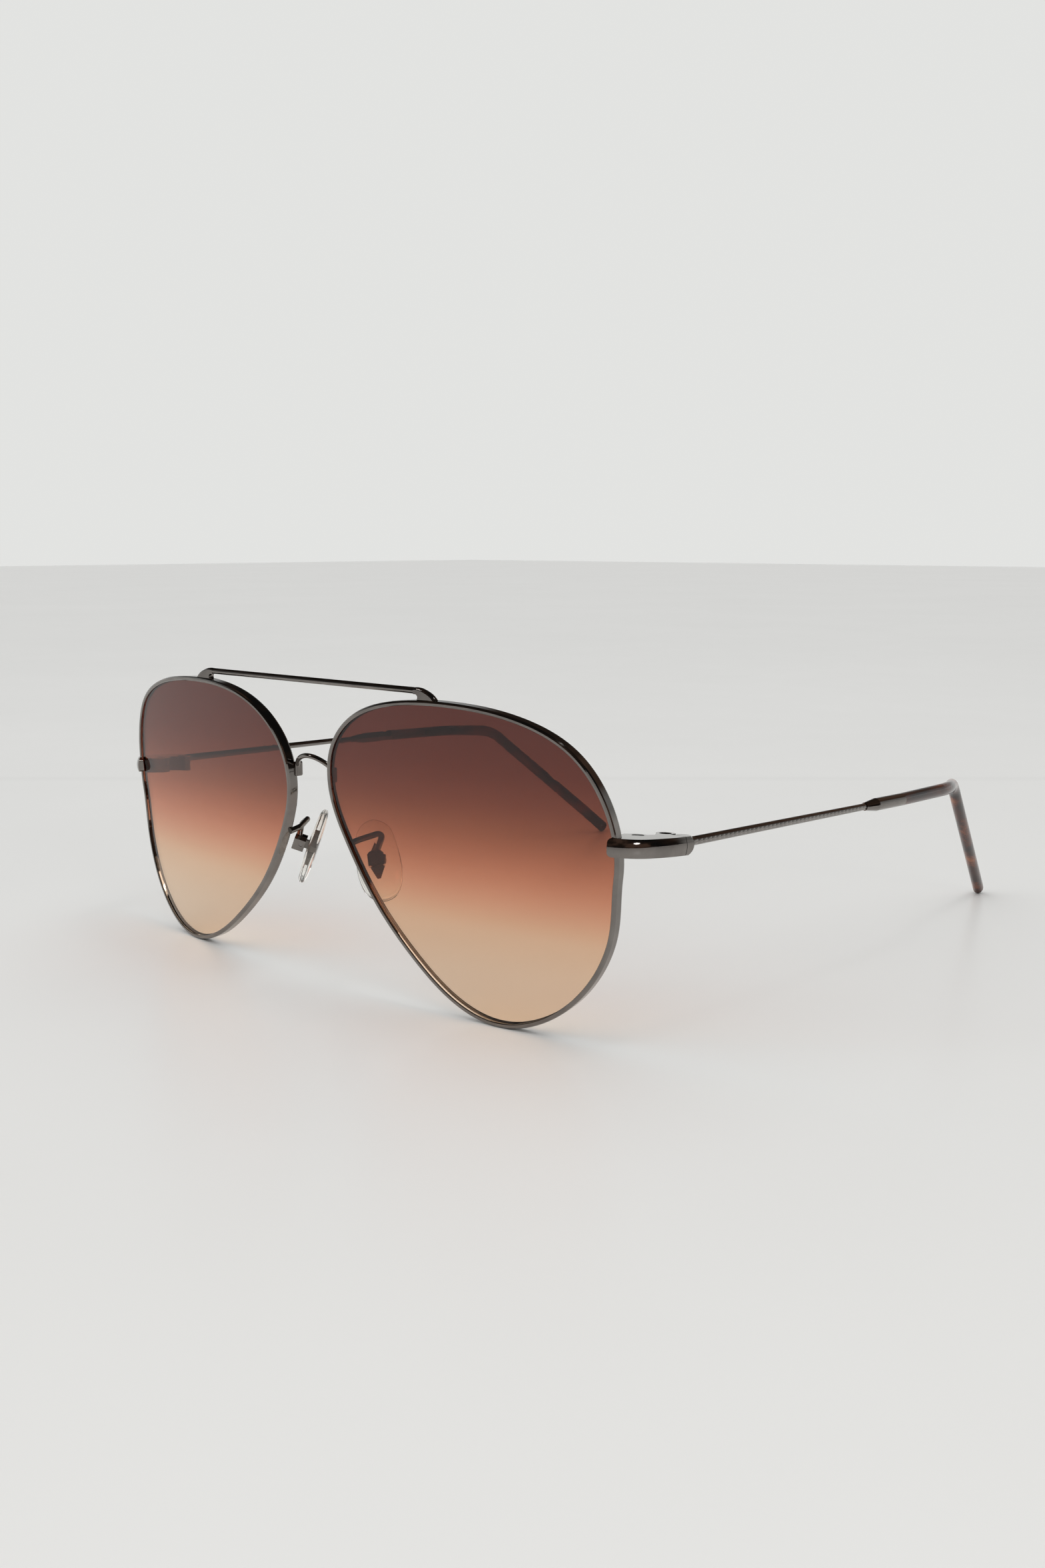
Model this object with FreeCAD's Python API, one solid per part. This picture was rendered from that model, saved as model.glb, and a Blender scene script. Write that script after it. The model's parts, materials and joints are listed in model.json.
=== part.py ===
import FreeCAD, Part
import math
import os
from FreeCAD import Placement, Rotation, Vector

# Aviator sunglasses in millimetres, +Z up, standing on the rims' lowest points and the temple tips.
# The front faces -Y. Every side piece is modelled on the wearer's left (+X) and mirrored for the right.
# Heights are measured from the table. Depths are measured from the lens centres, and the whole
# object moves by DEPTH_SHIFT at the end, which puts the middle of its depth over the origin.

# ---- driving dimensions -------------------------------------------------------------------------
DEPTH_SHIFT = -70.88
RUNNING_GAP = 0.03          # radial clearance of a running fit

# lenses and rims
LENS_CENTRE = Vector(35.24, 0, 27.28)
LENS_WRAP = 6.9             # degrees, temple side swept back
LENS_TILT = 3.75            # degrees, top leaning forward
ACROSS_RADIUS = 428.0       # lens curve across, bulging forward
UPRIGHT_RADIUS = 189.0      # lens curve upright, hollow towards the front
LENS_THICKNESS = 1.3
LENS_RECESS = 0.35          # lens front behind the rim's front edge
# lens shape, (towards temple, up) from the lens centre, from the temple side over the top
LENS_SHAPE = [
    (28.8, 0.0), (28.0, 10.2), (22.6, 19.0), (13.6, 23.6), (0.0, 25.6), (-11.8, 25.2),
    (-22.0, 22.0), (-27.8, 16.0), (-29.0, 8.8), (-25.8, 0.0), (-18.6, -10.8), (-10.6, -18.4),
    (-2.2, -24.0), (7.0, -26.4), (16.6, -23.8), (24.2, -17.0), (27.8, -9.0),
]
RIM_OUTER = 0.9             # rim's outside beyond the lens shape
RIM_INNER = 0.1             # rim's inside beyond the lens shape
RIM_DEPTH = 2.0
GROOVE_BOTTOM = 0.5
GROOVE_LIP = 0.26           # thickness of the lips each side of the groove
LENS_EDGE = 0.45            # lens edge beyond the lens shape, inside the groove
LENS_ROOM_FRONT = 1.0       # the lens's room at the end piece, behind the lens centre's plane
LENS_ROOM_DEPTH = 1.8

# brow bar and bridge
BROW_WIRE = 0.555           # radius
BROW_HEIGHT = 55.08
BROW_DEPTH = -2.95
BROW_FOOT_START = 27.6      # where the straight bar runs into its foot
BROW_FOOT_OUTSIDE = [(29.0, 55.62), (30.4, 55.24), (31.5, 54.76), (32.3, 54.2), (33.0, 53.4), (33.5, 52.4)]
BROW_SLOT_RADIUS = 0.52     # round end of the gap between the bar and the rim
BROW_SLOT_END = 28.62
BRIDGE_WIRE = 0.46
BRIDGE_TOP = Vector(0, -3.15, 41.63)
BRIDGE_END = Vector(5.1, -1.5, 39.2)
BRIDGE_FOOT_LOW = Vector(4.72, -2.2, 37.3)
BRIDGE_FOOT_HIGH = Vector(5.5, -0.6, 40.0)
BRIDGE_FOOT_ROUNDING = 0.3

# end piece, closing block and hinge
BLOCK_HEIGHT = 3.0
BLOCK_CROWN = 0.35          # bulge of the outer face at mid height
BLOCK_WALL = 1.3            # depth of the crowned outer strip
BLOCK_END_ROUNDING = 0.7
BLOCK_SLOPE = -4.0          # degrees, the block falls towards the temple
SEAM_Y = 15.6
SEAM_GAP = 0.12
SEAM_X = 69.25
FRONT_BEND_RADIUS = 6.5
FRONT_BEND_ANGLE = 52.0
SIDE_BEND_RADIUS = 28.0
SIDE_BEND_ANGLE = 16.0
BLOCK_LEAD = 0.9            # straight part that covers the rim's front
HINGE = Vector(65.1, 15.9, 32.0)
LUG_RADIUS = 1.6
LUG_GAP = 0.2               # round the lugs, which lean by the block's slope
SLOT_BOTTOM = 31.1
SLOT_TOP = 32.5
TONGUE_THICKNESS = 1.0
TONGUE_RADIUS = 1.5
WASHER_THICKNESS = 0.17
SCREW_RADIUS = 0.55
SCREW_HEAD_RADIUS = 0.95
SCREW_HEAD_HEIGHT = 0.4
SCREW_SLOT_WIDTH = 0.25
CLOSING_SCREW_X = 64.2
CLOSING_SCREW_Y = 9.9
LOBE_RADIUS = 1.75
SPLIT_GAP = 0.15            # gap between the halves of the rim lock
LOCK_SIDE_GAP = 0.05        # gap round the sides of the lower half

# temple
DOME_RADIUS = 2.16
DOME_LENGTH = 3.0
DOME_AXIS_X = 67.85
WIRE_START = Vector(68.7, 16.9, 32.45)
WIRE_END = Vector(70.75, 80.5, 31.5)
WIRE_START_RADIUS = 0.76
WIRE_END_RADIUS = 0.6
CORE_RADIUS = 0.5
FERRULE_LENGTH = 12.5
FERRULE_FLARE = 3.6
FERRULE_RADIUS = 1.2
TIP_KNEE = Vector(69.7, 101.0, 31.0)
TIP_CORNER = Vector(65.4, 111.4, 30.2)
TIP_END = Vector(55.4, 146.0, 0.84)
KNEE_RADIUS = 25.0
CORNER_RADIUS = 10.0
TIP_HALF_HEIGHT = 1.45
TIP_HALF_WIDTH = 1.15
TIP_ROUNDING = 0.7
CORE_STOP = 10.0            # the wire core ends this far short of the tip's end

# nose pads
PAD_CENTRE = Vector(9.2, 5.0, 22.8)
PAD_TOP_TO_BOTTOM = Vector(5.0, -2.3, -14.3)
PAD_SPLAY = 45.0            # degrees, rear edges further apart
PAD_HALF_LENGTH = 7.6
PAD_HALF_WIDTH = 4.3
PAD_THICKNESS = 2.0
INSERT_HALF_LENGTH = 3.3
INSERT_HALF_WIDTH = 1.6
INSERT_THICKNESS = 0.5
EAR_THICKNESS = 0.9
BOX_STAND = 2.3             # box centre from the pad's middle plane
BOX_HEIGHT = 2.6
BOX_WIDTH = 2.9
BOX_DEPTH = 1.7
BOX_BACK = 0.5
BOX_CORNER = 0.5            # bevel of its two upper corners
EAR_RADIUS = 0.75
EAR_GAP = 0.06              # each side of the ear in its box
PAD_SCREW_RADIUS = 0.4
ARM_WIRE = 0.55
ARM_ROUTE = [
    Vector(8.45, -1.0, 26.6), Vector(8.6, 1.6, 27.1), Vector(10.6, 5.4, 28.2),
    Vector(11.3, 4.0, 26.8), Vector(11.04, 3.23, 24.79),
]
ARM_BENDS = [1.6, 0.7, 1.3]

X = Vector(1, 0, 0)
Y = Vector(0, 1, 0)
Z = Vector(0, 0, 1)


# ---- helpers ------------------------------------------------------------------------------------
def unit(vector):
    return Vector(vector).normalize()


def rounded_path(points, radii):
    """Straight runs through the points, with a tangent arc at each inner point."""
    edges = []
    start = points[0]
    for before, corner, after, radius in zip(points, points[1:], points[2:], radii):
        back = unit(before - corner)
        ahead = unit(after - corner)
        half = back.getAngle(ahead) / 2
        reach = radius / math.tan(half)
        inward = unit(back + ahead)
        enter = corner + back * reach
        leave = corner + ahead * reach
        middle = corner + inward * (radius / math.sin(half) - radius)
        edges.append(Part.LineSegment(start, enter).toShape())
        edges.append(Part.Arc(enter, middle, leave).toShape())
        start = leave
    edges.append(Part.LineSegment(start, points[-1]).toShape())
    return Part.Wire(edges)


def round_wire(path, radius):
    """A round bar of one radius along a path."""
    first = path.OrderedEdges[0]
    start = first.valueAt(first.FirstParameter)
    heading = first.tangentAt(first.FirstParameter)
    section = Part.Wire(Part.makeCircle(radius, start, heading))
    return path.makePipeShell([section], True, False)


def polygon_prism(points, bottom, top, grow=0.0):
    corners = [Vector(x, y, bottom) for x, y in points]
    face = Part.Face(Part.makePolygon(corners + corners[:1]))
    if grow:
        face = face.makeOffset2D(grow, join=2)
    return face.extrude(Vector(0, 0, top - bottom))


def cylinder(radius, x, y, bottom, top):
    return Part.makeCylinder(radius, top - bottom, Vector(x, y, bottom), Z)


def box_between(x_low, x_high, y_low, y_high, z_low, z_high):
    return Part.makeBox(x_high - x_low, y_high - y_low, z_high - z_low, Vector(x_low, y_low, z_low))


def largest_solid(shape):
    return max(shape.Solids, key=lambda solid: solid.Volume)


def slotted_screw(radius, length, head_radius, head_height):
    """A screw along +Z with its head's underside at the origin, and a straight driver slot."""
    shank = Part.makeCylinder(radius, length, Vector(0, 0, -length), Z)
    head = Part.makeCylinder(head_radius, head_height)
    head = head.makeChamfer(0.1, [edge for edge in head.Edges if edge.BoundBox.ZMin > head_height / 2])
    slot = Part.makeBox(3 * head_radius, SCREW_SLOT_WIDTH, head_height,
                        Vector(-1.5 * head_radius, -SCREW_SLOT_WIDTH / 2, head_height * 0.5))
    return shank.fuse(head).removeSplitter().cut(slot)


# ---- lens and rim -------------------------------------------------------------------------------
# Both are drawn in the lens frame: X towards the temple, Y backwards, Z up.
def lens_place():
    turn = Rotation(X, LENS_TILT).multiply(Rotation(Z, LENS_WRAP))
    return Placement(LENS_CENTRE, turn)


def surface_depth(across, up):
    """How far the lens surface lies behind its centre's plane."""
    return across ** 2 / (2 * ACROSS_RADIUS) - up ** 2 / (2 * UPRIGHT_RADIUS)


def closed_curve(points):
    curve = Part.BSplineCurve()
    curve.interpolate(Points=points, PeriodicFlag=True)
    return curve


def flat_outline(offset):
    """The lens shape in the lens plane, moved outwards by an offset."""
    base = closed_curve([Vector(u, 0, v) for u, v in LENS_SHAPE])
    moved = []
    for u, v in LENS_SHAPE:
        point = Vector(u, 0, v)
        along = base.tangent(base.parameter(point))[0]
        moved.append(point + unit(Y.cross(along)) * offset)
    return Part.Wire(closed_curve(moved).toShape())


def edge_sweep(section):
    """Sweep (outwards, backwards) section points along the lens shape on the curved surface."""
    curve = closed_curve([Vector(u, surface_depth(u, v), v) for u, v in LENS_SHAPE])
    spine = Part.Wire(curve.toShape())
    start = curve.value(curve.FirstParameter)
    outward = unit(Y.cross(curve.tangent(curve.FirstParameter)[0]))
    corners = [start + outward * out + Y * back for out, back in section]
    profile = Part.makePolygon(corners + corners[:1])
    sweep = Part.BRepOffsetAPI.MakePipeShell(spine)
    sweep.setBiNormalMode(Y)
    sweep.add(profile, False, False)
    sweep.build()
    sweep.makeSolid()
    return sweep.shape()


def rim_section():
    """Eyewire section: rounded outside and front, a groove for the lens inside."""
    return [
        (RIM_INNER, 0.1), (RIM_INNER + 0.1, 0.0), (RIM_OUTER - 0.34, 0.0), (RIM_OUTER - 0.12, 0.08),
        (RIM_OUTER, 0.32), (RIM_OUTER, RIM_DEPTH - 0.3), (RIM_OUTER - 0.1, RIM_DEPTH - 0.08),
        (RIM_OUTER - 0.3, RIM_DEPTH), (RIM_INNER + 0.1, RIM_DEPTH), (RIM_INNER, RIM_DEPTH - 0.1),
        (RIM_INNER, RIM_DEPTH - GROOVE_LIP), (GROOVE_BOTTOM, RIM_DEPTH - GROOVE_LIP),
        (GROOVE_BOTTOM, GROOVE_LIP), (RIM_INNER, GROOVE_LIP),
    ]


def rim():
    body = edge_sweep(rim_section())
    body.Placement = lens_place()
    gap = box_between(60, 68, 0, 10, split_height(6) - SPLIT_GAP / 2, split_height(6) + SPLIT_GAP / 2)
    return body.cut(gap)


def lens_slab():
    """The full thickness of the lens between its two curved faces, wider than the lens."""
    reach = 32.0
    across = reach ** 2 / (2 * ACROSS_RADIUS)
    upright = -reach ** 2 / (2 * UPRIGHT_RADIUS)
    surface = Part.BezierSurface()
    surface.increase(2, 2)
    for row, depth_u in enumerate((across, -across, across)):
        for column, depth_v in enumerate((upright, -upright, upright)):
            depth = LENS_RECESS + depth_u + depth_v
            pole = Vector((row - 1) * reach, depth, (column - 1) * reach)
            surface.setPole(row + 1, column + 1, pole)
    return surface.toShape().extrude(Vector(0, LENS_THICKNESS, 0))


def lens():
    outline = Part.Face(flat_outline(LENS_EDGE))
    outline.translate(Vector(0, -10, 0))
    body = outline.extrude(Vector(0, 20, 0)).common(lens_slab())
    body.Placement = lens_place()
    return body


def lens_room():
    """Space kept free of the rim lock: the groove and the lens, with a little air."""
    outline = Part.Face(flat_outline(GROOVE_BOTTOM))
    outline.translate(Vector(0, LENS_ROOM_FRONT, 0))
    body = outline.extrude(Vector(0, LENS_ROOM_DEPTH, 0))
    body.Placement = lens_place()
    return body


# ---- brow bar and bridge ------------------------------------------------------------------------
def mirrored(shape):
    return shape.mirror(Vector(0, 0, 0), X)


def brow_foot():
    """Broad foot that turns down from the bar's end on to the rim, with a round slot under the bar."""
    front = BROW_DEPTH - BROW_WIRE
    high = BROW_HEIGHT + BROW_WIRE
    low = BROW_HEIGHT - BROW_WIRE
    slot_low = low - 2 * BROW_SLOT_RADIUS
    outside = Part.BSplineCurve()
    outside.interpolate([Vector(BROW_FOOT_START, front, high)] + [Vector(x, front, z) for x, z in BROW_FOOT_OUTSIDE])
    last = outside.EndPoint
    base = Vector(BROW_FOOT_START, front, last.z)
    slot_x = BROW_SLOT_END - BROW_SLOT_RADIUS
    slot = Part.Arc(Vector(slot_x, front, slot_low), Vector(BROW_SLOT_END, front, low - BROW_SLOT_RADIUS),
                    Vector(slot_x, front, low))
    outline = Part.Wire([
        outside.toShape(),
        Part.LineSegment(last, base).toShape(),
        Part.LineSegment(base, Vector(BROW_FOOT_START, front, slot_low)).toShape(),
        Part.LineSegment(Vector(BROW_FOOT_START, front, slot_low), slot.StartPoint).toShape(),
        slot.toShape(),
        Part.LineSegment(slot.EndPoint, Vector(BROW_FOOT_START, front, low)).toShape(),
        Part.LineSegment(Vector(BROW_FOOT_START, front, low), outside.StartPoint).toShape(),
    ])
    foot = Part.Face(outline).extrude(Vector(0, 2 * BROW_WIRE, 0))
    rounded = [edge for edge in foot.Edges if edge.BoundBox.YLength < 0.01 and edge.BoundBox.ZMax > low - 0.01
               and edge.BoundBox.XLength > 0.01 and edge.BoundBox.XMax > BROW_SLOT_END]
    return foot.makeFillet(BROW_WIRE * 0.8, rounded)


def brow_bar():
    start = Vector(-BROW_FOOT_START, BROW_DEPTH, BROW_HEIGHT)
    bar = Part.makeCylinder(BROW_WIRE, 2 * BROW_FOOT_START, start, X)
    foot = brow_foot()
    return bar.fuse([foot, mirrored(foot)])


def bridge():
    """Arched wire, its ends turned back on to flat feet against the rims."""
    far_end = Vector(-BRIDGE_END.x, BRIDGE_END.y, BRIDGE_END.z)
    arch = round_wire(Part.Wire(Part.Arc(far_end, BRIDGE_TOP, BRIDGE_END).toShape()), BRIDGE_WIRE)
    foot = box_between(BRIDGE_FOOT_LOW.x, BRIDGE_FOOT_HIGH.x, BRIDGE_FOOT_LOW.y, BRIDGE_FOOT_HIGH.y,
                       BRIDGE_FOOT_LOW.z, BRIDGE_FOOT_HIGH.z)
    foot = foot.makeFillet(BRIDGE_FOOT_ROUNDING, foot.Edges)
    return arch.fuse([foot, mirrored(foot)])


# ---- end piece ----------------------------------------------------------------------------------
# The block is drawn level round its own mid height, then tipped by BLOCK_SLOPE about the hinge.
def block_place():
    turn = Rotation(X, BLOCK_SLOPE)
    return Placement(HINGE - turn.multVec(Vector(HINGE.x, HINGE.y, 0)), turn)


def split_height(depth):
    """Height of the rim lock's split at a depth."""
    return HINGE.z + (depth - HINGE.y) * math.tan(math.radians(BLOCK_SLOPE))


def outer_path():
    """Plan line of the outer face, from the rim's front round to past the seam."""
    side_centre = Vector(SEAM_X - SIDE_BEND_RADIUS, SEAM_Y, 0)

    def side_point(angle):
        return side_centre + Rotation(Z, -angle).multVec(X * SIDE_BEND_RADIUS)

    joint = side_point(SIDE_BEND_ANGLE)
    front_centre = joint + unit(side_centre - joint) * FRONT_BEND_RADIUS

    def front_point(angle):
        return front_centre + Rotation(Z, -angle).multVec(X * FRONT_BEND_RADIUS)

    last_angle = SIDE_BEND_ANGLE + FRONT_BEND_ANGLE
    bend_start = front_point(last_angle)
    heading = Rotation(Z, -last_angle).multVec(Y)
    lead = bend_start - heading * BLOCK_LEAD
    edges = [
        Part.LineSegment(lead, bend_start).toShape(),
        Part.Arc(bend_start, front_point(SIDE_BEND_ANGLE + FRONT_BEND_ANGLE / 2), joint).toShape(),
        Part.Arc(joint, side_point(SIDE_BEND_ANGLE / 2), side_point(0)).toShape(),
        Part.LineSegment(side_point(0), side_point(0) + Y * 4).toShape(),
    ]
    return Part.Wire(edges), lead, heading


def outer_strip():
    """Crowned strip behind the outer face, running on through the temple's butt."""
    path, start, heading = outer_path()
    outward = heading.cross(Z)
    half = BLOCK_HEIGHT / 2
    low = start - Z * half
    high = start + Z * half
    crown = start + outward * BLOCK_CROWN
    inner = outward * -BLOCK_WALL
    section = Part.Wire([
        Part.Arc(low, crown, high).toShape(),
        Part.LineSegment(high, high + inner).toShape(),
        Part.LineSegment(high + inner, low + inner).toShape(),
        Part.LineSegment(low + inner, low).toShape(),
    ])
    return path.makePipeShell([section], True, False)


def rounded_end():
    """Room for the whole strip, with its two corners over the rim rounded."""
    start, heading = outer_path()[1:]
    reach = 30.0
    room = box_between(0, reach, -reach, reach, -BLOCK_HEIGHT / 2, BLOCK_HEIGHT / 2)
    corners = [edge for edge in room.Edges if edge.BoundBox.YLength > reach and edge.BoundBox.XMax < 1]
    room = room.makeFillet(BLOCK_END_ROUNDING, corners)
    room.Placement = Placement(start, Rotation(heading, Z.cross(heading), Z, "ZXY"))
    return room


def level_block():
    """Whole block before the seam and the splits: crowned strip, web and the two lobes."""
    half = BLOCK_HEIGHT / 2
    web = [
        (63.9, 4.3), (65.6, 4.7), (67.2, 7.6), (68.0, 11.5), (68.3, 19.6), (66.4, 19.6),
        (66.4, 16.4), (64.1, 14.9), (65.2, 12.9), (64.7, 11.5), (63.2, 11.1), (61.9, 9.3), (62.8, 6.2),
    ]
    block = outer_strip().common(rounded_end()).fuse([
        polygon_prism(web, -half, half),
        cylinder(LOBE_RADIUS, CLOSING_SCREW_X, CLOSING_SCREW_Y, -half, half),
        cylinder(LUG_RADIUS, HINGE.x, HINGE.y, -half, half),
    ])
    return block.removeSplitter()


def lock_region(top, grow):
    """Space of the lower half of the rim lock, drawn level, its sides let out by a margin."""
    below = [(61.0, 6.0), (65.3, 6.0), (66.0, 8.0), (66.0, 12.0), (61.0, 12.0)]
    return polygon_prism(below, -BLOCK_HEIGHT, top, grow)


def closing_screw():
    top = BLOCK_HEIGHT / 2
    seat = top - SCREW_HEAD_HEIGHT - 0.05
    screw = slotted_screw(SCREW_RADIUS, seat + top - 0.3, SCREW_HEAD_RADIUS, SCREW_HEAD_HEIGHT)
    screw.Placement = Placement(Vector(CLOSING_SCREW_X, CLOSING_SCREW_Y, seat), Rotation(Z, 35))
    return screw, seat


def endpiece_parts(rim_body):
    """End piece, closing block and closing screw; also the temple's share of the block."""
    block = level_block()
    screw, seat = closing_screw()
    half = BLOCK_HEIGHT / 2
    lower = block.common(lock_region(-SPLIT_GAP / 2, 0.0))
    lower = lower.cut(cylinder(SCREW_RADIUS, CLOSING_SCREW_X, CLOSING_SCREW_Y, -BLOCK_HEIGHT, half))
    block = block.cut(lock_region(SPLIT_GAP / 2, LOCK_SIDE_GAP))
    block = block.cut(cylinder(SCREW_RADIUS + RUNNING_GAP, CLOSING_SCREW_X, CLOSING_SCREW_Y, -half, half))
    counterbore = cylinder(SCREW_HEAD_RADIUS + 0.05, CLOSING_SCREW_X, CLOSING_SCREW_Y, seat, half + 1)
    block = block.cut(counterbore)
    for piece in (block, lower, screw):
        piece.Placement = block_place().multiply(piece.Placement)

    butt = block.common(box_between(66, 72, SEAM_Y + SEAM_GAP, 22, 28, 36))
    front = block.cut(box_between(66.2, 72, SEAM_Y, 22, 28, 36))
    slot = cylinder(TONGUE_RADIUS + 0.12, HINGE.x, HINGE.y, SLOT_BOTTOM, SLOT_TOP)
    slot = slot.fuse(box_between(HINGE.x, 68, HINGE.y - 0.3, 19, SLOT_BOTTOM, SLOT_TOP))
    front = front.cut(slot)
    front = front.cut(cylinder(SCREW_RADIUS, HINGE.x, HINGE.y, 29, 35))
    front = front.cut(cylinder(SCREW_HEAD_RADIUS + 0.05, HINGE.x, HINGE.y, hinge_seat(), 35))
    front = largest_solid(front.cut([rim_body, lens_room()]))
    lower = largest_solid(lower.cut([rim_body, lens_room()]))
    return front, lower, screw, butt


def hinge_seat():
    return SLOT_TOP + 0.32


def hinge_screw():
    screw = slotted_screw(SCREW_RADIUS, hinge_seat() - SLOT_BOTTOM + 0.45, SCREW_HEAD_RADIUS, SCREW_HEAD_HEIGHT)
    screw.Placement = Placement(Vector(HINGE.x, HINGE.y, hinge_seat()), Rotation(Z, -20))
    return screw


def hinge_washers():
    rings = []
    for bottom in (SLOT_BOTTOM, SLOT_TOP - WASHER_THICKNESS):
        ring = cylinder(TONGUE_RADIUS - 0.15, HINGE.x, HINGE.y, bottom, bottom + WASHER_THICKNESS)
        rings.append(ring.cut(cylinder(SCREW_RADIUS, HINGE.x, HINGE.y, 30, 34)))
    return Part.makeCompound(rings)


# ---- temple -------------------------------------------------------------------------------------
def temple_joint(butt):
    """Hinge tongue and domed butt in one piece."""
    level = HINGE.z + (SEAM_Y - HINGE.y) * math.tan(math.radians(BLOCK_SLOPE))
    seam = SEAM_Y + SEAM_GAP
    rise = Part.Ellipse(Vector(0, 0, 0), DOME_LENGTH, DOME_RADIUS).toShape(0, math.pi / 2)
    profile = Part.Face(Part.Wire([
        rise,
        Part.LineSegment(Vector(0, DOME_RADIUS, 0), Vector(0, 0, 0)).toShape(),
        Part.LineSegment(Vector(0, 0, 0), Vector(DOME_LENGTH, 0, 0)).toShape(),
    ]))
    dome = profile.revolve(Vector(0, 0, 0), X, 360)
    dome.Placement = Placement(Vector(DOME_AXIS_X, seam, level), Rotation(Z, 90))
    body = butt.common(dome)
    body = body.cut(cylinder(LUG_RADIUS + LUG_GAP, HINGE.x, HINGE.y, 29, 35))
    middle = (SLOT_BOTTOM + SLOT_TOP) / 2
    low = middle - TONGUE_THICKNESS / 2
    high = middle + TONGUE_THICKNESS / 2
    arm = box_between(HINGE.x, DOME_AXIS_X - 0.4, seam, HINGE.y + TONGUE_RADIUS * 0.92, low, high)
    tongue = cylinder(TONGUE_RADIUS, HINGE.x, HINGE.y, low, high)
    body = body.fuse([tongue, arm]).removeSplitter()
    return body.cut(cylinder(SCREW_RADIUS + RUNNING_GAP, HINGE.x, HINGE.y, 29, 35))


def tip_path():
    return rounded_path([WIRE_END, TIP_KNEE, TIP_CORNER, TIP_END], [KNEE_RADIUS, CORNER_RADIUS])


def shortened(path, length):
    """The path's edges up to a length from its start."""
    kept = []
    left = length
    for edge in path.OrderedEdges:
        if left <= edge.Length:
            end = edge.getParameterByLength(left)
            kept.append(edge.Curve.toShape(edge.FirstParameter, end))
            break
        kept.append(edge)
        left -= edge.Length
    return Part.Wire(kept)


def wire_core():
    """The wire's thin end, which runs on inside the tip."""
    path = tip_path()
    return round_wire(shortened(path, path.Length - CORE_STOP), CORE_RADIUS)


def temple_wire(joint):
    run = WIRE_END - WIRE_START
    shaft = Part.makeCone(WIRE_START_RADIUS, WIRE_END_RADIUS, run.Length, WIRE_START, run)
    return shaft.cut(joint).fuse(wire_core())


def ferrule(wire):
    """Flared sleeve on the wire's end, up to the tip."""
    axis = unit(WIRE_END - WIRE_START)
    start = WIRE_END - axis * FERRULE_LENGTH
    flare = Part.makeCone(WIRE_END_RADIUS + 0.14, FERRULE_RADIUS, FERRULE_FLARE, start, axis)
    sleeve = Part.makeCylinder(FERRULE_RADIUS, FERRULE_LENGTH, start + axis * FERRULE_FLARE, axis)
    beyond = Part.makeCylinder(2 * FERRULE_RADIUS, FERRULE_LENGTH, WIRE_END, unit(TIP_KNEE - WIRE_END))
    return flare.fuse(sleeve).removeSplitter().cut([wire, beyond])


def oval(place, half_height, half_width):
    """Closed oval section in the plane across a path."""
    points = []
    for step in range(12):
        angle = math.radians(30 * step)
        points.append(place.multVec(Vector(half_width * math.cos(angle), half_height * math.sin(angle), 0)))
    return Part.Wire(closed_curve(points).toShape())


def point_along(path, length):
    """Point and direction at a length along a path."""
    left = length
    for edge in path.OrderedEdges:
        if left <= edge.Length + 1e-6:
            parameter = edge.getParameterByLength(min(left, edge.Length))
            return edge.valueAt(parameter), unit(edge.tangentAt(parameter))
        left -= edge.Length
    raise ValueError("length beyond the path")


def temple_tip():
    """Acetate tip, fuller towards its rounded end."""
    path = tip_path()
    sweep = Part.BRepOffsetAPI.MakePipeShell(path)
    sweep.setFrenetMode(False)
    for length, half_height, half_width in ((0, 1.2, 1.15), (path.Length, TIP_HALF_HEIGHT, TIP_HALF_WIDTH)):
        centre, heading = point_along(path, length)
        side = unit(heading.cross(Z))
        rise = unit(side.cross(heading))
        sweep.add(oval(Placement(centre, Rotation(side, rise, heading, "ZXY")), half_height, half_width))
    sweep.build()
    sweep.makeSolid()
    body = sweep.shape().cut(wire_core())
    centre, heading = point_along(path, path.Length)
    end_edges = [edge for edge in body.Edges if abs((edge.CenterOfMass - centre).dot(heading)) < 0.01]
    return body.makeFillet(TIP_ROUNDING, end_edges)


# ---- nose pads ----------------------------------------------------------------------------------
def pad_place():
    """Pad frame: X across the pad towards the back, Y up along it, Z outwards to the box."""
    up = unit(PAD_TOP_TO_BOTTOM * -1)
    splay = math.radians(PAD_SPLAY)
    across = Vector(math.sin(splay), math.cos(splay), 0)
    across = unit(across - up * across.dot(up))
    outward = across.cross(up)
    return Placement(PAD_CENTRE, Rotation(across, up, outward, "ZXY"))


def pad_outline():
    """Drop shape, wider at the bottom and fuller on its rear edge."""
    points = [
        (0.0, 1.0), (0.68, 0.78), (0.93, 0.25), (1.0, -0.35), (0.72, -0.85), (0.05, -1.0),
        (-0.66, -0.82), (-0.96, -0.3), (-0.9, 0.3), (-0.62, 0.8),
    ]
    return closed_curve([Vector(x * PAD_HALF_WIDTH, y * PAD_HALF_LENGTH, 0) for x, y in points])


def nose_pad(insert):
    face = Part.Face(Part.Wire(pad_outline().toShape()))
    face.translate(Vector(0, 0, -PAD_THICKNESS / 2))
    body = face.extrude(Vector(0, 0, PAD_THICKNESS))
    rims = [edge for edge in body.Edges if edge.BoundBox.ZLength < 0.01]
    body = body.makeFillet(0.85, rims)
    body.Placement = pad_place()
    return body.cut(insert)


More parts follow.
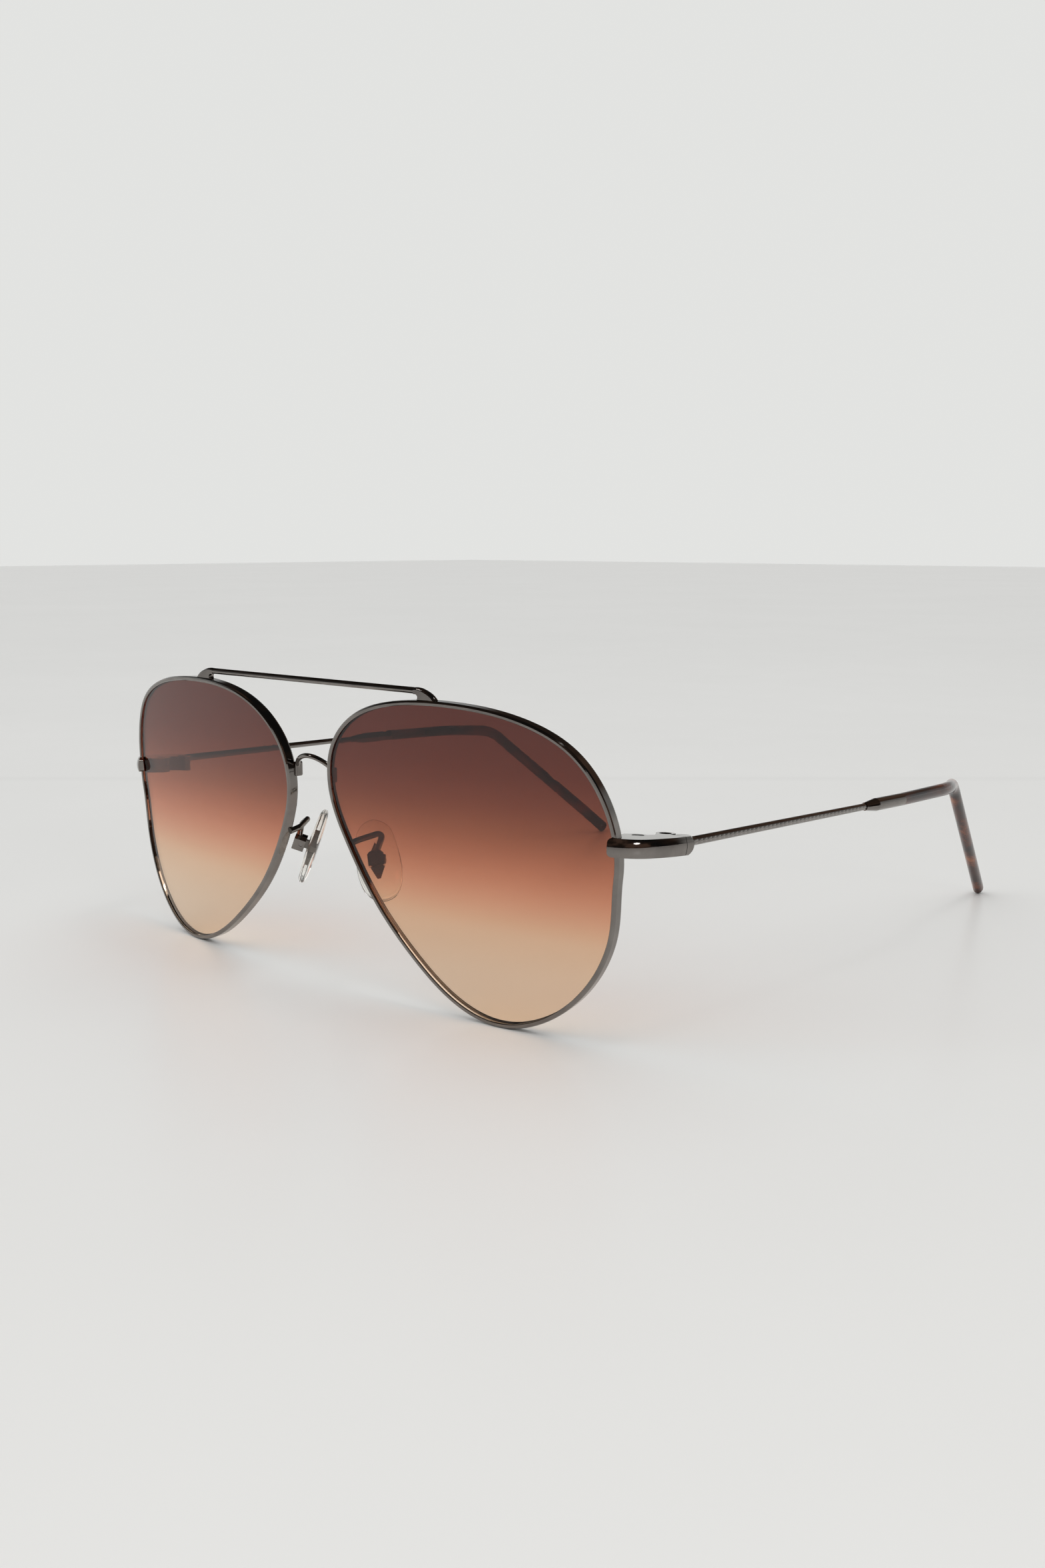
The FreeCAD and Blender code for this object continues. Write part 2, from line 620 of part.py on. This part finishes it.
def pad_insert():
    """Lozenge plate inside the pad, with the ear that stands out into the box."""
    half = INSERT_THICKNESS / 2
    lozenge = [
        (0, INSERT_HALF_LENGTH), (INSERT_HALF_WIDTH, 0.5), (INSERT_HALF_WIDTH, -0.5),
        (0.3, -INSERT_HALF_LENGTH), (-0.3, -INSERT_HALF_LENGTH), (-INSERT_HALF_WIDTH, -0.5),
        (-INSERT_HALF_WIDTH, 0.5),
    ]
    plate = polygon_prism(lozenge, -half, half)
    ear = box_between(-EAR_THICKNESS / 2, EAR_THICKNESS / 2, -EAR_RADIUS, EAR_RADIUS, 0, BOX_STAND)
    ear_side = Vector(-EAR_THICKNESS / 2, 0, BOX_STAND)
    round_end = Part.makeCylinder(EAR_RADIUS, EAR_THICKNESS, ear_side, X)
    body = plate.fuse([ear, round_end]).removeSplitter()
    hole = Part.makeCylinder(PAD_SCREW_RADIUS + RUNNING_GAP, EAR_THICKNESS, ear_side, X)
    body = body.cut(hole)
    body.Placement = pad_place()
    return body


def pad_box():
    """Small clip with two side walls round the ear, closed on the outside."""
    half_width = BOX_WIDTH / 2
    half_height = BOX_HEIGHT / 2
    ear_room = EAR_THICKNESS / 2 + EAR_GAP
    low = BOX_STAND - EAR_RADIUS
    high = low + BOX_DEPTH + BOX_BACK
    body = box_between(-half_width, half_width, -half_height, half_height, low, high)
    upper = [edge for edge in body.Edges if edge.BoundBox.YMin > 0 and edge.BoundBox.ZLength > 1]
    body = body.makeChamfer(BOX_CORNER, upper)
    inside = box_between(-ear_room, ear_room, -half_height, half_height, low, high - BOX_BACK)
    body = body.cut(inside)
    return body.cut(Part.makeCylinder(PAD_SCREW_RADIUS, BOX_WIDTH, Vector(-half_width, 0, BOX_STAND), X))


def pad_screw():
    screw = slotted_screw(PAD_SCREW_RADIUS, BOX_WIDTH - 0.1, 0.7, 0.3)
    turn = Rotation(Y, 90)
    screw.Placement = Placement(Vector(BOX_WIDTH / 2, 0, BOX_STAND), turn)
    return screw


def pad_parts(rim_body):
    insert = pad_insert()
    box = pad_box()
    screw = pad_screw()
    for piece in (box, screw):
        piece.Placement = pad_place().multiply(piece.Placement)
    arm = round_wire(rounded_path(ARM_ROUTE, ARM_BENDS), ARM_WIRE)
    arm = largest_solid(arm.cut([rim_body, box]))
    return nose_pad(insert), insert, box, screw, arm


# ---- assembly -----------------------------------------------------------------------------------
def side_pieces():
    eyewire = rim()
    end, lock, lock_screw, butt = endpiece_parts(eyewire)
    joint = temple_joint(butt)
    wire = temple_wire(joint)
    pad, insert, box, screw, arm = pad_parts(eyewire)
    return {
        "rim": eyewire,
        "lens": lens(),
        "endpiece": end,
        "closing_block": lock,
        "closing_screw": lock_screw,
        "hinge_screw": hinge_screw(),
        "hinge_washers": hinge_washers(),
        "pad_arm": arm,
        "pad_box": box,
        "pad_screw": screw,
        "nose_pad": pad,
        "pad_insert": insert,
        "temple_joint": joint,
        "temple_wire": wire,
        "ferrule": ferrule(wire),
        "temple_tip": temple_tip(),
    }


def build():
    pieces = {}
    side = side_pieces()
    for name, shape in side.items():
        pieces[name + "_left"] = shape
        pieces[name + "_right"] = mirrored(shape)
    rims = [pieces["rim_left"], pieces["rim_right"]]
    pieces["brow_bar"] = largest_solid(brow_bar().cut(rims))
    pieces["bridge"] = largest_solid(bridge().cut(rims))
    return pieces


os.makedirs("parts", exist_ok=True)
for name, shape in build().items():
    shape.translate(Vector(0, DEPTH_SHIFT, 0))
    shape.exportStep("parts/" + name + ".step")
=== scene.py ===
import json
import math
import bmesh
import bpy
from mathutils import Matrix, Vector


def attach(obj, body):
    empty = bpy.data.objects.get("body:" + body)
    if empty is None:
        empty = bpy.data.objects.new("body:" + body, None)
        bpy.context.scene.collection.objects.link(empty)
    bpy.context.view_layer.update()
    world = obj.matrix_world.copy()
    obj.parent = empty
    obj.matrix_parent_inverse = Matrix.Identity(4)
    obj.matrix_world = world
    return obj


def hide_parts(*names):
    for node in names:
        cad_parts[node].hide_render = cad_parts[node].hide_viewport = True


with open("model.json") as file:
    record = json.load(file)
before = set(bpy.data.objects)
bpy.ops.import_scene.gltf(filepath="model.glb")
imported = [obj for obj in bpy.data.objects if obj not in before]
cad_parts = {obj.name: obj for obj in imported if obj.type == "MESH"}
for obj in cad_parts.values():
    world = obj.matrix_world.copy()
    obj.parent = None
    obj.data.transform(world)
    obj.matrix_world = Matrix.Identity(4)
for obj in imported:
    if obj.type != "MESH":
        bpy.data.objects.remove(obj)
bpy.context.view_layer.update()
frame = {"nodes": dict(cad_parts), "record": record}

# Camera, in metres in the row frame.
CAMERA_PLACE = Vector((0.21003, -0.24467, 0.07961))
CAMERA_AZIMUTH = 42.84
CAMERA_ELEVATION = 9.13
CAMERA_LENS = 35.0
CAMERA_SENSOR = 36.0
VIEW_ALONG = Vector((-math.sin(math.radians(CAMERA_AZIMUTH)), math.cos(math.radians(CAMERA_AZIMUTH)), 0))

# Table and room.
TABLE_REACH = 4.0
SEAM_DEPTH = CAMERA_PLACE.dot(VIEW_ALONG) + 0.507   # along the view, from the origin
SEAM_HALF_WIDTH = 0.007
SEAM_SHADE = 0.965
PALE_WALL = (0.765, 0.770, 0.755)
DIM_WALL = (0.42, 0.43, 0.43)
ROOM_SHADES = [(0.40, (0.016, 0.016, 0.016)), (0.56, (0.050, 0.034, 0.026)), (0.66, (0.150, 0.095, 0.070))]

# Lamps: name, place, size across and upright, watts.
DAYLIGHT_ANGLE = 120.0
DAYLIGHT_STRENGTH = 2.85
LAMP_TARGET = (0.02, -0.05, 0.03)
SOFTBOXES = [
    ("side_softbox", (0.80, -0.30, 0.36), (0.24, 0.10), 0.5),
    ("high_softbox", (0.25, 0.10, 0.90), (0.22, 0.12), 0.35),
    ("window_softbox", (-0.60, -0.70, 0.50), (0.14, 0.24), 0.35),
]

# Lens tint by height, as a share of the lens's top, from the bottom upwards.
LENS_TOP = 0.054
LENS_STOPS = [
    (0.12, (0.87, 0.68, 0.51)), (0.29, (0.86, 0.57, 0.37)), (0.37, (0.80, 0.40, 0.245)),
    (0.45, (0.67, 0.255, 0.142)), (0.53, (0.48, 0.157, 0.084)), (0.61, (0.31, 0.094, 0.049)),
    (0.69, (0.21, 0.056, 0.033)), (0.80, (0.138, 0.032, 0.021)), (0.97, (0.110, 0.026, 0.019)),
]

# Nose pads, in metres: the same place and drop shape as their CAD solids.
PAD_CENTRE = Vector((0.0092, -0.06588, 0.0228))
PAD_DOWN = Vector((5.0, -2.3, -14.3))
PAD_SPLAY = 45.0
PAD_HALF_LENGTH = 0.0076
PAD_HALF_WIDTH = 0.0043
PAD_HALF_THICKNESS = 0.0010
PAD_SHAPE = [
    (0.0, 1.0), (0.68, 0.78), (0.93, 0.25), (1.0, -0.35), (0.72, -0.85), (0.05, -1.0),
    (-0.66, -0.82), (-0.96, -0.3), (-0.9, 0.3), (-0.62, 0.8),
]
PAD_RINGS = 9               # from the middle of each face to its edge
PAD_EDGE = 0.12             # half thickness left at the edge, as a share
BOSS_HEIGHT = 0.00012       # raised ring round the clip's ear
BOSS_RADIUS = 0.33          # as a share of the pad's outline
BOSS_WIDTH = 0.09
SIDES = {"left": 1, "right": -1}


# ---- node helpers -----------------------------------------------------------------------------
class Nodes:
    """A material's or world's node tree with short calls for adding and linking."""

    def __init__(self, owner):
        owner.use_nodes = True
        self.tree = owner.node_tree
        self.tree.nodes.clear()

    def add(self, kind, inputs=None, **settings):
        node = self.tree.nodes.new(kind)
        for key, value in settings.items():
            setattr(node, key, value)
        for key, value in (inputs or {}).items():
            if isinstance(value, bpy.types.NodeSocket):
                self.tree.links.new(value, node.inputs[key])
            else:
                node.inputs[key].default_value = value
        return node

    def mix(self, factor, first, second):
        """Colour mix, first at 0 and second at 1."""
        return self.add("ShaderNodeMix", {0: factor, 6: first, 7: second}, data_type="RGBA").outputs[2]

    def place(self, scale=(1, 1, 1), rotation=(0, 0, 0)):
        """Position on the object, in metres times scale."""
        where = self.add("ShaderNodeTexCoord").outputs["Object"]
        inputs = {"Vector": where, "Scale": scale, "Rotation": rotation}
        return self.add("ShaderNodeMapping", inputs).outputs[0]

    def noise(self, vector, scale, detail=3.0, roughness=0.5):
        inputs = {"Vector": vector, "Scale": scale, "Detail": detail, "Roughness": roughness}
        return self.add("ShaderNodeTexNoise", inputs).outputs["Fac"]

    def ramp(self, factor, stops, interpolation="LINEAR"):
        node = self.add("ShaderNodeValToRGB", {"Fac": factor})
        node.color_ramp.interpolation = interpolation
        elements = node.color_ramp.elements
        while len(elements) < len(stops):
            elements.new(0.5)
        for element, (position, colour) in zip(elements, stops):
            element.position = position
            element.color = (*colour, 1)
        return node.outputs["Color"]

    def span(self, factor, low, high):
        """A 0 to 1 factor spread from low to high."""
        inputs = {"Value": factor, "To Min": low, "To Max": high}
        return self.add("ShaderNodeMapRange", inputs).outputs["Result"]

    def step(self, factor, low, high, start=0.0):
        """A soft step, from a start value at low to 1 at high."""
        inputs = {"Value": factor, "From Min": low, "From Max": high, "To Min": start}
        return self.add("ShaderNodeMapRange", inputs, interpolation_type="SMOOTHSTEP").outputs["Result"]

    def math(self, operation, *values):
        """One step of arithmetic on sockets or numbers."""
        return self.add("ShaderNodeMath", dict(enumerate(values)), operation=operation).outputs[0]

    def bump(self, height, strength, distance):
        inputs = {"Height": height, "Strength": strength, "Distance": distance}
        return self.add("ShaderNodeBump", inputs).outputs["Normal"]

    def surface(self, shader):
        self.add("ShaderNodeOutputMaterial", {"Surface": shader.outputs[0]})


def new_material(name):
    material = bpy.data.materials.new(name)
    return material, Nodes(material)


# ---- materials --------------------------------------------------------------------------------
def gunmetal(name, dark, light, rough_low, rough_high):
    """Polished dark plating: faint cloudy tone, fine polishing marks and a thin clear coat."""
    material, nodes = new_material(name)
    place = nodes.place()
    cloud = nodes.noise(place, 260.0, 4.0, 0.6)
    colour = nodes.ramp(cloud, [(0.3, dark), (0.7, light)])
    grain = nodes.noise(place, 5200.0, 2.0, 0.7)
    rough = nodes.span(nodes.noise(place, 900.0, 5.0, 0.65), rough_low, rough_high)
    shader = nodes.add("ShaderNodeBsdfPrincipled", {
        "Base Color": colour, "Metallic": 1.0, "Roughness": rough,
        "Coat Weight": 0.15, "Coat Roughness": 0.03, "Normal": nodes.bump(grain, 0.05, 0.00002),
    })
    nodes.surface(shader)
    return material


def turned_steel(name, dark, light, roughness):
    """Plain steel with fine turning marks."""
    material, nodes = new_material(name)
    grain = nodes.noise(nodes.place((1, 1, 9)), 3800.0, 3.0, 0.7)
    colour = nodes.ramp(grain, [(0.25, dark), (0.75, light)])
    rough = nodes.span(nodes.noise(nodes.place(), 2200.0), roughness - 0.06, roughness + 0.1)
    shader = nodes.add("ShaderNodeBsdfPrincipled", {
        "Base Color": colour, "Metallic": 1.0, "Roughness": rough, "Normal": nodes.bump(grain, 0.15, 0.00003),
    })
    nodes.surface(shader)
    return material


def let_lamps_through(nodes, glass, tint):
    """Glass for the eye, and a plain tinted window for the light that falls through it."""
    window = nodes.add("ShaderNodeBsdfTransparent", {"Color": tint})
    is_shadow = nodes.add("ShaderNodeLightPath").outputs["Is Shadow Ray"]
    mixed = nodes.add("ShaderNodeMixShader", {0: is_shadow, 1: glass.outputs[0], 2: window.outputs[0]})
    nodes.surface(mixed)


def lens_tint():
    """Gradient tint, dark plum brown above and pale peach below."""
    material, nodes = new_material("lens_tint")
    place = nodes.place()
    height = nodes.add("ShaderNodeSeparateXYZ", {"Vector": place}).outputs["Z"]
    waver = nodes.span(nodes.noise(place, 30.0, 1.0), -0.012, 0.012)
    share = nodes.add("ShaderNodeMapRange", {"Value": height, "From Min": 0.0, "From Max": LENS_TOP})
    level = nodes.math("ADD", share.outputs["Result"], waver)
    tint = nodes.ramp(level, LENS_STOPS, "B_SPLINE")
    rough = nodes.span(nodes.noise(place, 420.0), 0.0, 0.02)
    glass = nodes.add("ShaderNodeBsdfPrincipled", {
        "Base Color": tint, "Roughness": rough, "IOR": 1.43, "Transmission Weight": 1.0,
    })
    one_pass = nodes.add("ShaderNodeGamma", {"Color": tint, "Gamma": 0.5}).outputs[0]
    let_lamps_through(nodes, glass, one_pass)
    return material


def clear_silicone():
    material, nodes = new_material("silicone")
    place = nodes.place()
    haze = nodes.noise(place, 700.0, 3.0, 0.6)
    tint = nodes.ramp(haze, [(0.3, (0.99, 0.98, 0.94)), (0.7, (0.97, 0.95, 0.90))])
    rough = nodes.span(haze, 0.02, 0.07)
    dimple = nodes.noise(place, 2600.0, 2.0)
    glass = nodes.add("ShaderNodeBsdfPrincipled", {
        "Base Color": tint, "Roughness": rough, "IOR": 1.41, "Transmission Weight": 1.0,
        "Normal": nodes.bump(dimple, 0.1, 0.00004),
    })
    let_lamps_through(nodes, glass, tint)
    return material


def acetate():
    """Tortoise brown: dark clouds in amber, drawn out along the tip, under a polished skin."""
    material, nodes = new_material("acetate")
    drawn = nodes.place((1.0, 0.35, 0.8))
    cloud = nodes.noise(drawn, 210.0, 4.0, 0.55)
    fleck = nodes.noise(drawn, 640.0, 3.0, 0.6)
    both = nodes.math("MULTIPLY_ADD", fleck, 0.3, cloud)
    colour = nodes.ramp(both, [
        (0.50, (0.010, 0.004, 0.003)), (0.62, (0.050, 0.013, 0.007)),
        (0.72, (0.150, 0.040, 0.015)), (0.84, (0.300, 0.095, 0.030)),
    ])
    rough = nodes.span(fleck, 0.10, 0.20)
    shader = nodes.add("ShaderNodeBsdfPrincipled", {
        "Base Color": colour, "Roughness": rough, "IOR": 1.47, "Coat Weight": 0.2, "Coat Roughness": 0.05,
        "Normal": nodes.bump(nodes.noise(drawn, 1500.0, 2.0), 0.06, 0.00004),
    })
    nodes.surface(shader)
    return material


def table_top():
    """Pale satin table with a faint seam across it, well behind the sunglasses."""
    material, nodes = new_material("table_top")
    azimuth = math.radians(CAMERA_AZIMUTH)
    place = nodes.place(rotation=(0, 0, -azimuth))
    depth = nodes.add("ShaderNodeSeparateXYZ", {"Vector": place}).outputs["Y"]
    mottle = nodes.noise(nodes.place(), 6.0, 3.0)
    base = nodes.ramp(mottle, [(0.3, (0.80, 0.805, 0.79)), (0.7, (0.82, 0.825, 0.81))])
    away = nodes.math("ABSOLUTE", nodes.math("SUBTRACT", depth, SEAM_DEPTH))
    shade = nodes.step(away, 0.0, SEAM_HALF_WIDTH, SEAM_SHADE)
    colour = nodes.add("ShaderNodeVectorMath", {0: base, 1: shade}, operation="MULTIPLY").outputs[0]
    rough = nodes.span(nodes.noise(nodes.place(), 40.0, 4.0), 0.26, 0.34)
    shader = nodes.add("ShaderNodeBsdfPrincipled", {"Base Color": colour, "Roughness": rough, "IOR": 1.45})
    nodes.surface(shader)
    return material


# ---- mesh helpers -----------------------------------------------------------------------------
def mesh_object(name, rings):
    """A closed skin over rings of points, each ring as long as the next."""
    mesh = bpy.data.meshes.new(name)
    builder = bmesh.new()
    rows = [[builder.verts.new(point) for point in ring] for ring in rings]
    for row, following in zip(rows, rows[1:]):
        for index in range(len(row)):
            after = (index + 1) % len(row)
            builder.faces.new((row[index], row[after], following[after], following[index]))
    builder.faces.new(rows[0])
    builder.faces.new(rows[-1])
    bmesh.ops.recalc_face_normals(builder, faces=builder.faces)
    builder.to_mesh(mesh)
    builder.free()
    mesh.shade_smooth()
    piece = bpy.data.objects.new(name, mesh)
    bpy.context.scene.collection.objects.link(piece)
    return piece


def smooth_loop(points, steps):
    """Closed curve through the points, as a list of flat vectors."""
    loop = []
    count = len(points)
    for index in range(count):
        before, start, end, after = (Vector(points[(index + shift) % count]) for shift in (-1, 0, 1, 2))
        for step in range(steps):
            t = step / steps
            bend = (2 * before - 5 * start + 4 * end - after) * t * t
            curl = (3 * start - before - 3 * end + after) * t ** 3
            loop.append((2 * start + (end - before) * t + bend + curl) / 2)
    return loop


# ---- nose pads --------------------------------------------------------------------------------
def pad_matrix(side):
    """Pad frame: X across the pad towards the back, Y up along it, Z outwards to the clip."""
    up = -PAD_DOWN.normalized()
    splay = math.radians(PAD_SPLAY)
    across = Vector((math.sin(splay), math.cos(splay), 0))
    across = (across - up * across.dot(up)).normalized()
    outward = across.cross(up)
    turn = Matrix((across, up, outward)).transposed().to_4x4()
    matrix = Matrix.Translation(PAD_CENTRE) @ turn
    if side < 0:
        matrix = Matrix.Scale(-1, 4, (1, 0, 0)) @ matrix
    return matrix


def nose_pad(label, side):
    """Crowned drop with a rolled edge and a shallow boss round the clip's ear."""
    outline = [Vector((p.x * PAD_HALF_WIDTH, p.y * PAD_HALF_LENGTH)) for p in smooth_loop(PAD_SHAPE, 5)]
    shares = [math.sin(math.pi / 2 * (step + 0.35) / PAD_RINGS) for step in range(PAD_RINGS)]
    rings = []
    for face in (-1, 1):
        for share in shares[::-face]:
            crown = (1 - share ** 5) ** 0.5
            height = face * PAD_HALF_THICKNESS * (PAD_EDGE + (1 - PAD_EDGE) * crown)
            if face > 0:
                height += BOSS_HEIGHT * math.exp(-((share - BOSS_RADIUS) / BOSS_WIDTH) ** 2)
            rings.append([Vector((p.x * share, p.y * share, height)) for p in outline])
    pad = mesh_object("silicone_pad_" + label, rings)
    pad.data.transform(pad_matrix(side))
    if side < 0:
        pad.data.flip_normals()
    finer = pad.modifiers.new("finer", "SUBSURF")
    finer.levels = 1
    finer.render_levels = 1
    pad.data.materials.append(materials["silicone"])
    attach(pad, "pad_" + label)
    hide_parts("nose_pad_" + label)


# ---- stage ------------------------------------------------------------------------------------
def make_camera():
    data = bpy.data.cameras.new("camera")
    data.lens = CAMERA_LENS
    data.sensor_width = CAMERA_SENSOR
    data.clip_start = 0.01
    data.clip_end = 20.0
    camera = bpy.data.objects.new("camera", data)
    elevation = math.radians(CAMERA_ELEVATION)
    back = -VIEW_ALONG * math.cos(elevation) + Vector((0, 0, math.sin(elevation)))
    camera.location = CAMERA_PLACE
    camera.rotation_mode = "QUATERNION"
    camera.rotation_quaternion = (-back).to_track_quat("-Z", "Y")
    bpy.context.scene.collection.objects.link(camera)
    bpy.context.scene.camera = camera


def make_table():
    mesh = bpy.data.meshes.new("table_top")
    corners = [(x * TABLE_REACH, y * TABLE_REACH, 0) for x, y in ((-1, -1), (1, -1), (1, 1), (-1, 1))]
    mesh.from_pydata(corners, [], [(0, 1, 2, 3)])
    table = bpy.data.objects.new("table_top", mesh)
    bpy.context.scene.collection.objects.link(table)
    mesh.materials.append(table_top())


def add_lamp(name, kind, place, target, settings):
    """A lamp at a place that shines at a target and isn't seen itself."""
    data = bpy.data.lights.new(name, kind)
    for key, value in settings.items():
        setattr(data, key, value)
    lamp = bpy.data.objects.new(name, data)
    lamp.location = place
    lamp.rotation_mode = "QUATERNION"
    lamp.rotation_quaternion = (Vector(target) - Vector(place)).to_track_quat("-Z", "Y")
    lamp.visible_camera = False
    bpy.context.scene.collection.objects.link(lamp)
    return lamp


def softbox(name, place, size, power):
    settings = {"shape": "ELLIPSE", "size": size[0], "size_y": size[1], "energy": power}
    add_lamp(name, "AREA", place, LAMP_TARGET, settings)


def make_world():
    """Pale backdrop; what the metal mirrors is a pale wall behind and a dim warm room in front."""
    world = bpy.data.worlds.new("studio")
    bpy.context.scene.world = world
    nodes = Nodes(world)
    heading = nodes.add("ShaderNodeTexCoord").outputs["Generated"]
    rise = nodes.add("ShaderNodeSeparateXYZ", {"Vector": heading}).outputs["Z"]
    ahead = nodes.add("ShaderNodeVectorMath", {0: heading, 1: VIEW_ALONG}, operation="DOT_PRODUCT")
    in_front = nodes.step(ahead.outputs["Value"], 0.0, 0.35)
    wall = nodes.math("MULTIPLY", in_front, nodes.step(rise, 0.42, 0.28))
    room = nodes.ramp(nodes.noise(heading, 1.6, 2.0), ROOM_SHADES)
    wall_shade = nodes.ramp(rise, [(0.10, PALE_WALL), (0.20, DIM_WALL)])
    seen = nodes.add("ShaderNodeLightPath").outputs["Is Camera Ray"]
    colour = nodes.mix(seen, nodes.mix(wall, room, wall_shade), (*PALE_WALL, 1))
    background = nodes.add("ShaderNodeBackground", {"Color": colour, "Strength": 1.0})
    nodes.add("ShaderNodeOutputWorld", {"Surface": background.outputs[0]})


# ---- scene ------------------------------------------------------------------------------------
bpy.context.scene.view_settings.view_transform = "Standard"
make_camera()
make_world()
make_table()
daylight_settings = {"angle": math.radians(DAYLIGHT_ANGLE), "energy": DAYLIGHT_STRENGTH}
daylight = add_lamp("daylight", "SUN", (-0.3, -0.2, 1.0), (0, 0, 0), daylight_settings)
daylight.visible_glossy = False
for name, place, size, power in SOFTBOXES:
    softbox(name, place, size, power)

materials = {
    "gunmetal": gunmetal("gunmetal", (0.185, 0.170, 0.158), (0.240, 0.222, 0.206), 0.04, 0.09),
    "screw_steel": turned_steel("screw_steel", (0.16, 0.15, 0.145), (0.28, 0.265, 0.255), 0.20),
    "insert_steel": turned_steel("insert_steel", (0.14, 0.13, 0.12), (0.26, 0.24, 0.22), 0.28),
    "lens_tint": lens_tint(),
    "silicone": clear_silicone(),
    "acetate": acetate(),
}
for entry in frame["record"]["subparts"]:
    node = frame["nodes"][entry["node"]]
    node.data.materials.clear()
    node.data.materials.append(materials[entry["material_slot"]])
for label, side in SIDES.items():
    nose_pad(label, side)
